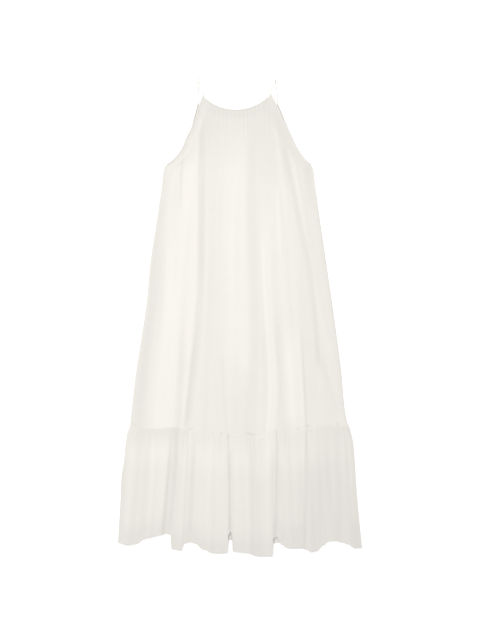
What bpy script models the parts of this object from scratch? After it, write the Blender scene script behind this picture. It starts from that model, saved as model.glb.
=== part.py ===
# A sleeveless maxi dress laid flat on its back: two thin straps, a scooped and gathered neckline,
# a long flared body and a gathered tier at the hem.
# Metres, +Z up. +Y runs from hem to neck and the front of the dress faces +Z. The origin is on the
# surface that the dress lies on, in the middle of its outline.

import math

import bpy
import numpy as np

WALL = 0.0012  # cloth
GAP = 0.0003  # between pieces that are sewn together or lie on each other
CORD = 0.0028  # straps and rolled bindings, across

# How the front lies on the back
LOFT = 0.0062  # air between them, away from the side seams
SIDE_ROLL = 0.018  # width over which the front rounds down to its side seam
ARMHOLE_EASE = 0.022  # width over which it rises from an armhole
SIDE_TOP = 0.42  # y at which the armhole begins to give way to the side seam, and over what length
SIDE_CHANGE = 0.16
NECK_EDGE = 0.0034  # how far the neck and armhole edges of the front lie above the back
NECK_EDGE_END = 0.29  # y at which that lift has died away, and over what length
NECK_EDGE_FADE = 0.16
NECK_SOFT = 2  # sections from the neck over which the loft and the folds grow, from these shares
NECK_LOFT = 0.25
NECK_FOLDS = 0.35

FRONT_DIP = 0.0464  # depth of the front neckline below its corners
BACK_DIP = 0.036
NECK_SQUARE = 0.6  # power of the sine that a neckline follows: below 1 it is squarer
GATHER = 0.0006  # neck gathers: height, spacing and where they fade out
GATHER_PITCH = 0.012
GATHER_START = 0.60
GATHER_END = 0.46

SEAM_REACH = 0.417  # how far above the tier seam its line bends the rows of the body
BACK_SEAM_DIP = 0.024  # how much lower the seam of the back is in the middle
TIER_OPENS = 0.35  # share of the tier's length at which its ruffle stands at full height
TIER_EASES = 0.45  # and at which the height of the body's folds has gone
TIER_SIDE = 0.05  # share of its columns over which the swelling under the seam runs out at a side
SWELL_WIDTH = 0.06  # how far from its sides the tier swells out
PUFF = 0.0022  # swelling of the tier under the seam: height, the flat width above it, width, length
PUFF_FLAT = 0.002
PUFF_WIDTH = 0.006
PUFF_FADE = 0.014
TICK = 0.0005  # small gathers just below the seam, one to each pair of columns
TICK_LENGTH = 0.25

BACK_FOLD = 0.0010  # soft folds of the hidden back, which grow below this y over this length
BACK_FOLD_TOP = 0.42
BACK_FOLD_GROW = 0.25
BACK_BODY_FOLDS = 7
BACK_FLUTE = 0.0016  # and of the back of the tier
BACK_TIER_FLUTES = 12
BACK_FLUTE_GROW = 0.10
BACK_SIDE = 0.02  # width over which they run out at a side

NECK_CORD_POINTS = 26
NECK_CORD_END = 0.035  # share of the neckline left free at each end of its cord
ARMHOLE_CORD_END = 0.1  # share of its last step by which an armhole cord stops short
STRAP_TOP = 0.695
STRAP_TURN = 0.0026  # radius of the fold at the top of a strap

# Side edges of the body, in metres from neck to tier seam: a row for each section.
# left x, left y, right x, right y
ARMHOLE_FRONT = (
    (-0.105, 0.641, 0.087, 0.646),
    (-0.112, 0.623, 0.097, 0.625),
    (-0.118, 0.602, 0.109, 0.604),
    (-0.1265, 0.576, 0.1205, 0.577),
    (-0.1375, 0.547, 0.1345, 0.547),
    (-0.153, 0.518, 0.149, 0.518),
    (-0.1665, 0.486, 0.1645, 0.486),
    (-0.1875, 0.458, 0.1845, 0.458),
    (-0.2095, 0.4405, 0.203, 0.4405),
)
ARMHOLE_BACK = (
    (-0.1205, 0.619, 0.1085, 0.614),
    (-0.1275, 0.590, 0.1185, 0.590),
    (-0.139, 0.550, 0.1355, 0.549),
    (-0.154, 0.518, 0.150, 0.518),
    (-0.1675, 0.486, 0.1655, 0.486),
    (-0.1885, 0.458, 0.1855, 0.458),
    (-0.2095, 0.4405, 0.203, 0.4405),
)
SIDES = (
    (-0.2205, 0.428, 0.2115, 0.428),
    (-0.228, 0.368, 0.219, 0.368),
    (-0.242, 0.275, 0.232, 0.275),
    (-0.2595, 0.159, 0.249, 0.159),
    (-0.2705, 0.043, 0.266, 0.043),
    (-0.286, -0.062, 0.2805, -0.062),
    (-0.3005, -0.154, 0.2925, -0.154),
    (-0.311, -0.241, 0.300, -0.241),
    (-0.3165, -0.294, 0.3075, -0.294),
    (-0.319, -0.317, 0.3155, -0.317),
)

# Half the width of the dress, for lines that fan out with it: y, half width
FAN = (
    (-0.680, 0.354),
    (-0.317, 0.320),
    (0.440, 0.215),
)

# Seam between the body and the tier on the front: x, y
SEAM_LINE = (
    (-0.319, -0.317),
    (-0.249, -0.323),
    (-0.183, -0.320),
    (-0.136, -0.330),
    (-0.070, -0.340),
    (-0.044, -0.343),
    (-0.003, -0.337),
    (0.061, -0.343),
    (0.090, -0.324),
    (0.136, -0.337),
    (0.180, -0.324),
    (0.215, -0.317),
    (0.287, -0.314),
    (0.3155, -0.317),
)

# Folds of the front, each followed from its upper to its lower end.
# name, upper y, lower y, x at five even steps down,
# width of the flat top to the left of that line, of the fall to its left, of the fall to its right, height,
# length over which it fades in, and out
BODY_FOLDS = (
    ("left plateau", 0.645, -0.160, (-0.113, -0.121, -0.126, -0.127, -0.139),
     0.062, 0.042, 0.028, 0.0058, 0.23, 0.22),
    ("left strap ridge", 0.635, 0.390, (-0.1135, -0.115, -0.118, -0.121, -0.123),
     0, 0.013, 0.014, 0.0018, 0.03, 0.12),
    ("left low plateau", 0.130, -0.360, (-0.160, -0.172, -0.182, -0.190, -0.196),
     0.025, 0.068, 0.021, 0.0038, 0.28, 0),
    ("ridge beside it", 0.080, -0.360, (-0.129, -0.138, -0.149, -0.158, -0.165),
     0, 0.012, 0.014, 0.0014, 0.10, 0),
    ("valley beside the plateau", 0.620, -0.350, (-0.106, -0.107, -0.108, -0.1235, -0.154),
     0.004, 0.015, 0.016, -0.0026, 0.22, 0.06),
    ("left side groove", 0.460, -0.330, (-0.189, -0.232, -0.249, -0.273, -0.296),
     0, 0.025, 0.024, -0.0028, 0.06, 0.10),
    ("groove under the armhole", 0.527, 0.295, (-0.157, -0.161, -0.166, -0.168, -0.170),
     0, 0.008, 0.034, -0.0021, 0.05, 0.05),
    ("centre", 0.645, -0.270, (0.011, 0.011, 0.014, 0.022, 0.020),
     0, 0.100, 0.034, 0.0034, 0.28, 0.22),
    ("right of centre", 0.420, -0.080, (0.150, 0.152, 0.156, 0.160, 0.160),
     0.075, 0.030, 0.040, 0.0017, 0.14, 0.14),
    ("centre groove", 0.527, -0.360, (0.042, 0.044, 0.050, 0.050, 0.040),
     0.014, 0.020, 0.014, -0.0011, 0.16, 0),
    ("upper groove", 0.411, 0.150, (-0.052, -0.052, -0.052, -0.052, -0.052),
     0, 0.012, 0.012, -0.0004, 0.08, 0.08),
    ("groove over the slit", -0.024, -0.360, (-0.051, -0.049, -0.045, -0.039, -0.032),
     0, 0.012, 0.012, -0.0010, 0.12, 0),
    ("ridge right of centre", 0.300, -0.360, (0.076, 0.085, 0.094, 0.102, 0.094),
     0.013, 0.010, 0.021, 0.0031, 0.18, 0),
    ("low groove", 0.049, -0.360, (0.108, 0.116, 0.127, 0.136, 0.141),
     0.006, 0.017, 0.024, -0.0014, 0.14, 0),
    ("short ridge", 0.397, 0.150, (0.108, 0.112, 0.115, 0.117, 0.120),
     0, 0.009, 0.010, 0.0011, 0.08, 0.08),
    ("right strap ridge", 0.645, 0.235, (0.096, 0.107, 0.119, 0.133, 0.142),
     0, 0.016, 0.014, 0.0013, 0.05, 0.14),
    ("right ridge", 0.020, -0.360, (0.163, 0.170, 0.176, 0.181, 0.184),
     0.016, 0.052, 0.014, 0.0047, 0.16, 0.09),
    ("long diagonal groove", 0.513, -0.200, (0.129, 0.166, 0.202, 0.2235, 0.233),
     0, 0.018, 0.012, -0.0027, 0.06, 0.10),
    ("end of the diagonal", -0.040, -0.320, (0.220, 0.235, 0.257, 0.279, 0.295),
     0, 0.016, 0.014, -0.0016, 0.06, 0.06),
    ("armhole ridge", 0.500, 0.170, (0.142, 0.160, 0.177, 0.191, 0.203),
     0, 0.014, 0.014, 0.0013, 0.06, 0.12),
    ("right side ridge", 0.130, -0.180, (0.213, 0.229, 0.244, 0.262, 0.280),
     0, 0.018, 0.016, 0.0013, 0.08, 0.08),
)

# Ruffle of the front tier, from the left side seam to the right: a row for each crest, trough or edge
# of a flat top.
# x at the seam, x at the hem, height above the back, y of the hem
FLUTES = (
    (-0.319, -0.354, 0.0000, -0.656),
    (-0.296, -0.328, 0.0040, -0.662),
    (-0.273, -0.302, 0.0036, -0.659),
    (-0.257, -0.278, 0.0030, -0.645),
    (-0.244, -0.264, 0.0056, -0.639),
    (-0.204, -0.231, 0.0062, -0.632),
    (-0.188, -0.214, 0.0008, -0.629),
    (-0.176, -0.202, 0.0006, -0.631),
    (-0.161, -0.1985, 0.0028, -0.674),
    (-0.152, -0.170, 0.0048, -0.678),
    (-0.144, -0.162, 0.0040, -0.656),
    (-0.128, -0.144, 0.0016, -0.653),
    (-0.116, -0.132, 0.0046, -0.656),
    (-0.099, -0.107, 0.0054, -0.674),
    (-0.073, -0.078, 0.0056, -0.685),
    (-0.052, -0.052, 0.0054, -0.686),
    (-0.040, -0.0365, 0.0052, -0.684),
    (-0.035, -0.0335, 0.0042, -0.632),
    (-0.029, -0.0265, 0.0012, -0.624),
    (-0.026, -0.0235, 0.0022, -0.632),
    (-0.023, -0.0210, 0.0044, -0.680),
    (-0.010, -0.004, 0.0058, -0.682),
    (0.012, 0.024, 0.0050, -0.685),
    (0.034, 0.048, 0.0036, -0.694),
    (0.046, 0.062, 0.0030, -0.695),
    (0.062, 0.079, 0.0040, -0.695),
    (0.090, 0.0935, 0.0050, -0.694),
    (0.100, 0.0970, 0.0046, -0.641),
    (0.112, 0.1070, 0.0020, -0.638),
    (0.125, 0.121, 0.0042, -0.661),
    (0.137, 0.139, 0.0046, -0.671),
    (0.160, 0.166, 0.0056, -0.671),
    (0.184, 0.180, 0.0050, -0.671),
    (0.197, 0.192, 0.0028, -0.675),
    (0.209, 0.204, 0.0044, -0.682),
    (0.219, 0.222, 0.0042, -0.679),
    (0.233, 0.240, 0.0032, -0.662),
    (0.249, 0.258, 0.0027, -0.650),
    (0.268, 0.276, 0.0042, -0.649),
    (0.285, 0.295, 0.0030, -0.654),
    (0.296, 0.312, 0.0038, -0.659),
    (0.306, 0.332, 0.0034, -0.671),
    (0.3155, 0.354, 0.0000, -0.671),
)

# How far the sides of the tier swell out: share of its length, to the left, to the right
SIDE_SWELL = (
    (0.00, 0.0000, 0.0000),
    (0.05, 0.0050, 0.0035),
    (0.12, 0.0068, 0.0062),
    (0.30, 0.0072, 0.0058),
    (0.42, 0.0095, 0.0038),
    (0.60, 0.0062, 0.0016),
    (0.85, 0.0022, 0.0002),
    (1.00, 0.0000, 0.0000),
)

# Hem of the back tier, hidden but for the slits of the front: x, y
BACK_HEM = (
    (-0.354, -0.655),
    (-0.310, -0.645),
    (-0.235, -0.627),
    (-0.130, -0.634),
    (-0.030, -0.647),
    (0.060, -0.652),
    (0.102, -0.657),
    (0.150, -0.650),
    (0.250, -0.642),
    (0.310, -0.648),
    (0.354, -0.670),
)

COLUMN = 0.010  # widest column of the front, at the seam
FRONT_LOW_ROWS = 15  # rows of a body panel below its armhole
BACK_LOW_ROWS = 9
BACK_COLUMNS = 36
TIER_ROWS = (0, 0.006, 0.024, 0.06, 0.14, 0.3, 0.5, 0.75, 1)  # as shares of the tier's length
BACK_TIER_COLUMNS = 60
BACK_TIER_ROWS = 4


def cosine_step(t):
    """0 to 1 as t goes from 0 to 1, level at both ends."""
    return 0.5 - 0.5 * np.cos(math.pi * np.clip(t, 0, 1))


def through(stations, values, at):
    """A smooth curve through points, as a Catmull-Rom spline."""
    stations = np.asarray(stations, float)
    values = np.asarray(values, float)
    slopes = np.gradient(values, stations)
    at = np.clip(at, stations.min(), stations.max())
    i = np.clip(np.searchsorted(stations, at, side="right") - 1, 0, len(stations) - 2)
    span = stations[i + 1] - stations[i]
    t = (at - stations[i]) / span
    rise = values[i] * (2 * t**3 - 3 * t**2 + 1) + values[i + 1] * (3 * t**2 - 2 * t**3)
    return rise + span * (slopes[i] * (t**3 - 2 * t**2 + t) + slopes[i + 1] * (t**3 - t**2))


def bump(distance, flat, left, right):
    """1 on the crest line and over the flat width to its left, falling to 0 over the widths beside them."""
    t = np.where(distance < 0, np.minimum(distance + flat, 0) / left, distance / right)
    return np.cos(0.5 * math.pi * np.clip(t, -1, 1)) ** 2


def fold_height(x, y):
    """The height that the folds of the front add at a place on the dress."""
    height = np.zeros_like(x)
    for _, top, bottom, line, flat, left, right, rise, fade_in, fade_out in BODY_FOLDS:
        share = (top - y) / (top - bottom)
        centre = through(np.linspace(0, 1, len(line)), line, share)
        near = np.where((share >= 0) & (share <= 1), 1.0, 0.0)
        if fade_in:
            near = near * cosine_step((top - y) / fade_in)
        if fade_out:
            near = near * cosine_step((y - bottom) / fade_out)
        height += rise * near * bump(x - centre, flat, left, right)
    return height


def neck_gathers(x, y):
    """Small gathers that hang from the neckline and fade out on the chest."""
    fade = np.clip((y - GATHER_END) / (GATHER_START - GATHER_END), 0, 1) ** 1.5
    return GATHER * fade * np.cos(2 * math.pi * x / GATHER_PITCH)


def back_height(x, y):
    """Low folds of the back, which fan out with the dress; between them it lies on the ground."""
    half_width = np.interp(y, *zip(*FAN))
    across = (x / half_width + 1) / 2
    down = cosine_step((BACK_FOLD_TOP - y) / BACK_FOLD_GROW)
    body = BACK_FOLD * down * np.clip(np.sin(across * BACK_BODY_FOLDS * math.pi * 2), 0, 1) ** 2
    flute = np.clip(-np.cos(across * BACK_TIER_FLUTES * math.pi * 2), 0, 1) ** 1.5
    in_tier = cosine_step((SIDES[-1][1] - y) / BACK_FLUTE_GROW)
    rise = body * (1 - in_tier) + BACK_FLUTE * in_tier * flute
    return rise * cosine_step((half_width - np.abs(x)) / BACK_SIDE)


def flute_columns():
    """Places of the front's columns among the rows of FLUTES: at least two to each step."""
    widths = np.diff([row[0] for row in FLUTES])
    counts = np.maximum(np.ceil(widths / COLUMN), 2).astype(int)
    inside = [step + np.arange(count) / count for step, count in enumerate(counts)]
    return np.concatenate(inside + [[len(widths)]])


def flute_places(u):
    """For the columns of the front: their x at the seam and at the hem, and the trough or crest
    before each, with the share of the way to the next."""
    table = np.array(FLUTES)
    columns = flute_columns()
    at = np.interp(u, np.linspace(0, 1, len(columns)), columns)
    rows = np.arange(len(table))
    before = np.clip(np.floor(at + 1e-6).astype(int), 0, len(table) - 2)
    return np.interp(at, rows, table[:, 0]), np.interp(at, rows, table[:, 1]), before, at - before


def section_rows(armhole, low_rows):
    """Places of a body panel's rows among its sections: one at each section of the armhole and one
    just below it, then even steps down to the seam."""
    y = np.array([row[1] for row in armhole + SIDES])
    first = len(armhole)
    steps = np.linspace(y[first], y[-1], low_rows + 1)[1:]
    below = np.interp(-steps, -y[first:], np.arange(first, len(y)))
    return np.concatenate((np.arange(first + 1), below))


def section_points(armhole, low_rows, u, v, dip, seam_y):
    """Plan of a panel between its side edges, and the section that each place is at. The neckline
    dips in the middle, and the rows bend towards the line of the seam."""
    table = np.array(armhole + SIDES)
    rows = section_rows(armhole, low_rows)
    at = np.interp(v, np.linspace(0, 1, len(rows)), rows)
    left_x, left_y, right_x, right_y = (np.interp(at, np.arange(len(table)), c) for c in table.T)
    arch = np.sin(math.pi * np.clip(u, 0, 1))
    neck_share = np.clip(1 - at / len(armhole), 0, 1)
    x = left_x + (right_x - left_x) * u
    y = left_y + (right_y - left_y) * u
    side_end = SIDES[-1][1]
    low = np.clip(1 - (y - side_end) / SEAM_REACH, 0, 1) ** 2
    inside = np.minimum(x - left_x, right_x - x)
    return x, y - dip * neck_share * arch**NECK_SQUARE + (seam_y - side_end) * low, inside, at


def front_body(u, v):
    seam_x = flute_places(u)[0]
    u = (seam_x - FLUTES[0][0]) / (FLUTES[-1][0] - FLUTES[0][0])
    seam_y = through(*zip(*SEAM_LINE), seam_x)
    x, y, inside, at = section_points(ARMHOLE_FRONT, FRONT_LOW_ROWS, u, v, FRONT_DIP, seam_y)
    at_side = cosine_step((SIDE_TOP - y) / SIDE_CHANGE)
    rounded = np.sqrt(1 - (1 - np.clip(inside / SIDE_ROLL, 0, 1)) ** 2)
    roll = rounded * at_side + cosine_step(inside / ARMHOLE_EASE) * (1 - at_side)
    below_armhole = np.clip(at - len(ARMHOLE_FRONT) + 1, 0, 1)
    edge = NECK_EDGE * cosine_step((y - NECK_EDGE_END) / NECK_EDGE_FADE) * (1 - below_armhole * (1 - roll))
    from_neck = np.clip(at / NECK_SOFT, 0, 1)
    lift = LOFT * (NECK_LOFT + (1 - NECK_LOFT) * from_neck)
    folds = fold_height(x, y) * (NECK_FOLDS + (1 - NECK_FOLDS) * from_neck)
    own = np.maximum((lift + folds + neck_gathers(x, y)) * roll, 0) + edge
    return x, y, WALL / 2 + back_height(x, y) + WALL + GAP + own


def seam_slant(x):
    """Length of the seam line for each unit of x, on the steeper side of each place."""
    left, here, right = (through(*zip(*SEAM_LINE), x + step) for step in (-COLUMN, 0, COLUMN))
    return np.hypot(1, np.maximum(np.abs(here - left), np.abs(right - here)) / COLUMN)


def side_swell(seam_x, v):
    """How far a place on the tier moves sideways where its sides swell out."""
    swell, left, right = zip(*SIDE_SWELL)
    from_left = cosine_step(1 - (seam_x - FLUTES[0][0]) / SWELL_WIDTH) * through(swell, left, v)
    from_right = cosine_step(1 - (FLUTES[-1][0] - seam_x) / SWELL_WIDTH) * through(swell, right, v)
    return from_right - from_left


def front_tier(u, v):
    """The ruffle: its columns follow the crests and troughs, which deepen from the seam down. Just
    under the seam it is flat, and then it puffs up."""
    table = np.array(FLUTES)
    seam_x, hem_x, before, share = flute_places(u)
    t = cosine_step(share)
    flute = table[before, 2] + (table[before + 1, 2] - table[before, 2]) * t
    hem_y = table[before, 3] + (table[before + 1, 3] - table[before, 3]) * t
    body_x, body_y, body_z = front_body(u, np.ones_like(u))
    top_y = body_y - GAP * seam_slant(body_x)
    v = np.interp(v, np.linspace(0, 1, len(TIER_ROWS)), TIER_ROWS)
    x = body_x + (hem_x - body_x) * v + side_swell(seam_x, v)
    y = top_y + (hem_y - top_y) * v
    under = WALL * 1.5 + GAP
    body_own = body_z - under - back_height(body_x, body_y)
    down = top_y - y
    side = np.clip(np.minimum(u, 1 - u) / TIER_SIDE, 0, 1)
    puff = PUFF * cosine_step((down - PUFF_FLAT) / PUFF_WIDTH) * np.exp(-down / PUFF_FADE)
    column = u * (len(flute_columns()) - 1)
    tick = TICK * np.cos(math.pi * column) * cosine_step((down - PUFF_FLAT) / PUFF_WIDTH)
    tick = tick * np.clip(1 - v / TICK_LENGTH, 0, 1)
    opened = 1 - (1 - np.clip(v / TIER_OPENS, 0, 1)) ** 2
    own = flute * opened + body_own * (1 - cosine_step(v / TIER_EASES)) + side * (puff + tick)
    return x, y, under + back_height(x, y) + np.maximum(own, 0)


def back_body(u, v):
    seam_y = SIDES[-1][1] - BACK_SEAM_DIP * np.sin(math.pi * np.clip(u, 0, 1))
    x, y, _, _ = section_points(ARMHOLE_BACK, BACK_LOW_ROWS, u, v, BACK_DIP, seam_y)
    return x, y, WALL / 2 + back_height(x, y)


def back_tier(u, v):
    grid = np.linspace(0, 1, BACK_COLUMNS + 1)
    seam_x, seam_y, _ = back_body(grid, np.ones_like(grid))
    top_x = seam_x[0] + (seam_x[-1] - seam_x[0]) * u
    top_y = np.interp(top_x, seam_x, seam_y)
    hem_x = FLUTES[0][1] + (FLUTES[-1][1] - FLUTES[0][1]) * u
    hem_y = through(*zip(*BACK_HEM), hem_x)
    x = top_x + (hem_x - top_x) * v + side_swell(top_x, v)
    y = top_y - GAP + (hem_y - top_y + GAP) * v
    return x, y, WALL / 2 + back_height(x, y)


def material(name, color, roughness):
    made = bpy.data.materials.new(name)
    made.use_nodes = True
    surface = made.node_tree.nodes["Principled BSDF"]
    surface.inputs["Base Color"].default_value = (*color, 1)
    surface.inputs["Roughness"].default_value = roughness
    surface.inputs["Metallic"].default_value = 0
    return made


def panel(name, columns, rows, shape, cloth, parts):
    """A cloth panel: a plane grid moved onto a shape of (u, v), v down from the top, with a wall."""
    bpy.ops.mesh.primitive_grid_add(x_subdivisions=columns, y_subdivisions=rows, size=1)
    made = bpy.context.object
    made.name = name
    for owner in list(made.users_collection):
        owner.objects.unlink(made)
    parts.objects.link(made)
    places = np.empty(len(made.data.vertices) * 3)
    made.data.vertices.foreach_get("co", places)
    places = places.reshape(-1, 3)
    u = np.clip(places[:, 0] + 0.5, 0, 1)
    v = np.clip(0.5 - places[:, 1], 0, 1)
    made.data.vertices.foreach_set("co", np.stack(shape(u, v), axis=1).ravel())
    made.data.update()
    made.data.shade_smooth()
    made.data.materials.append(cloth)
    split = made.modifiers.new("Triangulate", "TRIANGULATE")
    split.quad_method = "FIXED"
    wall = made.modifiers.new("Wall", "SOLIDIFY")
    wall.thickness = WALL
    wall.offset = 0
    return made


def cord(name, points, cloth, parts):
    """A rolled cord along a smooth path, with flat ends."""
    curve = bpy.data.curves.new(name, "CURVE")
    curve.dimensions = "3D"
    curve.bevel_depth = CORD / 2
    curve.bevel_resolution = 2
    curve.use_fill_caps = True
    spline = curve.splines.new("POLY")
    spline.points.add(len(points) - 1)
    for point, place in zip(spline.points, points):
        point.co = (*place, 1)
    curve.materials.append(cloth)
    made = bpy.data.objects.new(name, curve)
    parts.objects.link(made)
    return made


def beside(points, side):
    """The points moved sideways by half a cord and a gap, to the left (1) or the right (-1) of their run."""
    steps = np.diff(points[:, :2], axis=0)
    steps /= np.linalg.norm(steps, axis=1)[:, None]
    before = np.vstack((steps[:1], steps))
    after = np.vstack((steps, steps[-1:]))
    run = before + after
    run /= np.linalg.norm(run, axis=1)[:, None]
    mitre = 1 / np.sum(run * after, axis=1)
    moved = points.copy()
    moved[:, 0] -= side * run[:, 1] * mitre * (CORD / 2 + GAP)
    moved[:, 1] += side * run[:, 0] * mitre * (CORD / 2 + GAP)
    return moved


def neckline_path(shape, height):
    u = np.linspace(NECK_CORD_END, 1 - NECK_CORD_END, NECK_CORD_POINTS)
    x, y, _ = shape(u, np.zeros_like(u))
    return beside(np.stack((x, y, np.full_like(x, height)), axis=1), 1)


def armhole_path(sections, column, side, height):
    edge = np.array([(row[column], row[column + 1], height) for row in sections])
    edge[-1] += (edge[-2] - edge[-1]) * ARMHOLE_CORD_END
    return beside(edge, side)


def strap_end(path):
    """Two points in line with a cord, the first a gap beyond its end."""
    run = path[0] - path[1]
    run /= np.linalg.norm(run)
    return path[0] + run * GAP, path[0] + run * (GAP + CORD)


def strap_path(front_cord, back_cord, top_x):
    """From the front armhole cord up, over a small fold at the top and down to the back one."""
    low = CORD / 2
    turn_y = STRAP_TOP - STRAP_TURN - CORD / 2
    front_end, front = strap_end(front_cord)
    back_end, back = strap_end(back_cord)
    share = np.linspace(0, 1, 6)[:, None]
    ease = cosine_step(share)
    top_front = np.array((top_x, turn_y, low + STRAP_TURN * 2))
    top_back = np.array((top_x, turn_y, low))
    up = front + (top_front - front) * np.hstack((ease, share, ease))
    down = top_back + (back - top_back) * np.hstack((ease, share, share))
    angle = np.linspace(math.pi / 2, -math.pi / 2, 9)[1:-1]
    fold_x = np.full_like(angle, top_x)
    fold_y = turn_y + STRAP_TURN * np.cos(angle)
    fold_z = low + STRAP_TURN + STRAP_TURN * np.sin(angle)
    fold = np.stack((fold_x, fold_y, fold_z), axis=1)
    return np.vstack((front_end, up, fold, down, back_end))


def main():
    for old in list(bpy.data.objects):
        bpy.data.objects.remove(old)
    parts = bpy.data.collections.new("maxi_dress")
    bpy.context.scene.collection.children.link(parts)
    crepe = material("ivory_crepe", (0.87, 0.85, 0.80), 0.75)
    binding = material("ivory_binding", (0.89, 0.87, 0.83), 0.6)

    front_rows = len(ARMHOLE_FRONT) + FRONT_LOW_ROWS
    back_rows = len(ARMHOLE_BACK) + BACK_LOW_ROWS
    front_columns = len(flute_columns()) - 1
    panel("front_body", front_columns, front_rows, front_body, crepe, parts)
    panel("back_body", BACK_COLUMNS, back_rows, back_body, crepe, parts)
    panel("front_tier", front_columns, len(TIER_ROWS) - 1, front_tier, crepe, parts)
    panel("back_tier", BACK_TIER_COLUMNS, BACK_TIER_ROWS, back_tier, crepe, parts)

    on_front = WALL * 1.5 + GAP + NECK_EDGE
    on_back = CORD / 2
    cord("front_neck_binding", neckline_path(front_body, on_front), binding, parts)
    cord("back_neck_binding", neckline_path(back_body, on_back), binding, parts)
    for name, column, side, top_x in (("left", 0, -1, -0.1205), ("right", 2, 1, 0.1030)):
        front = armhole_path(ARMHOLE_FRONT, column, side, on_front)
        back = armhole_path(ARMHOLE_BACK, column, side, on_back)
        cord(f"{name}_armhole_front_binding", front, binding, parts)
        cord(f"{name}_armhole_back_binding", back, binding, parts)
        cord(f"{name}_strap", strap_path(front, back, top_x), binding, parts)


main()
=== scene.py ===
# Ivory maxi dress laid flat on its back: looks only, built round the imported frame.
# Metres throughout; +Y runs from hem to neck and the front of the dress faces +Z.
import math
import bpy
import numpy as np
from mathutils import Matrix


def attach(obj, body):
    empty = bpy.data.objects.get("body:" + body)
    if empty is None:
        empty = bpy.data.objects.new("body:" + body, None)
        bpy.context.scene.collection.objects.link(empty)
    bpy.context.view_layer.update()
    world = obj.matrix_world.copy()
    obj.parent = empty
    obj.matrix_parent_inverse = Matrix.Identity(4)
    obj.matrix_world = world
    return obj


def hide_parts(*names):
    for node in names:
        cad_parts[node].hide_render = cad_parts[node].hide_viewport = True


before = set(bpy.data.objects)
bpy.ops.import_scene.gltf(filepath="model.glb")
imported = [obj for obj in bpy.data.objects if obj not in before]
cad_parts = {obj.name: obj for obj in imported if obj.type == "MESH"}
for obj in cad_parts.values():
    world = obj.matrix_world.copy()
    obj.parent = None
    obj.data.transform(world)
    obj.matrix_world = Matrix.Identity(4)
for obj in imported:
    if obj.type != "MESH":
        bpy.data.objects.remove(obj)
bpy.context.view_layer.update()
scene = bpy.context.scene
print("frame with", len(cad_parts), "nodes")

wall = 0.0007  # the real cloth and its crinkle
under = 0.0012  # room that a layer of the solids takes
gap = 0.0003  # between pieces that lie on each other
seamGap = 0.00005  # between pieces that are sewn together

# Side edges from neck to tier seam, a row for each section: left x, left y, right x, right y
armholeFront = [
    (-0.105, 0.641, 0.087, 0.646), (-0.112, 0.623, 0.097, 0.625), (-0.118, 0.602, 0.109, 0.604),
    (-0.1265, 0.576, 0.1205, 0.577), (-0.1375, 0.547, 0.1345, 0.547), (-0.153, 0.518, 0.149, 0.518),
    (-0.1665, 0.486, 0.1645, 0.486), (-0.1875, 0.458, 0.1845, 0.458), (-0.2095, 0.4405, 0.203, 0.4405)]
armholeBack = [
    (-0.1205, 0.619, 0.1085, 0.614), (-0.1275, 0.590, 0.1185, 0.590), (-0.139, 0.550, 0.1355, 0.549),
    (-0.154, 0.518, 0.150, 0.518), (-0.1675, 0.486, 0.1655, 0.486), (-0.1885, 0.458, 0.1855, 0.458),
    (-0.2095, 0.4405, 0.203, 0.4405)]
sides = [
    (-0.2205, 0.428, 0.2115, 0.428), (-0.228, 0.368, 0.219, 0.368), (-0.242, 0.275, 0.232, 0.275),
    (-0.2595, 0.159, 0.249, 0.159), (-0.2705, 0.043, 0.266, 0.043), (-0.286, -0.062, 0.2805, -0.062),
    (-0.3005, -0.154, 0.2925, -0.154), (-0.311, -0.241, 0.300, -0.241), (-0.3165, -0.294, 0.3075, -0.294),
    (-0.319, -0.317, 0.3155, -0.317)]

# Seam between the body and the tier on the front: x, y
seamLine = [
    (-0.319, -0.317), (-0.249, -0.323), (-0.183, -0.320), (-0.136, -0.330), (-0.070, -0.340),
    (-0.044, -0.343), (-0.003, -0.337), (0.061, -0.343), (0.090, -0.324), (0.136, -0.337),
    (0.180, -0.324), (0.215, -0.317), (0.287, -0.314), (0.3155, -0.317)]

# Where that seam is uneven: x, half width, tick above the seam, swelling below it; the ticks also carry
# painted shade and the swellings a painted highlight
seamMarks = [
    (-0.307, 0.007, 1.0, 0.4), (-0.150, 0.004, 0.0, -1.2), (-0.142, 0.010, 0.9, 0.8),
    (-0.078, 0.004, 0.6, -0.5), (-0.053, 0.007, 1.0, -0.6), (-0.032, 0.007, 0.5, -2.2),
    (-0.010, 0.016, 0.0, 0.4), (0.031, 0.020, 1.3, 0.0), (0.056, 0.016, 0.0, 0.8),
    (0.107, 0.005, 0.0, -1.0), (0.121, 0.008, 0.0, 0.8), (0.167, 0.007, 0.9, 0.3), (0.196, 0.010, 1.1, 0.0),
    (0.221, 0.011, 0.0, 0.8), (0.272, 0.010, 0.0, 0.7), (0.282, 0.010, 1.0, 0.0)]

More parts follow.
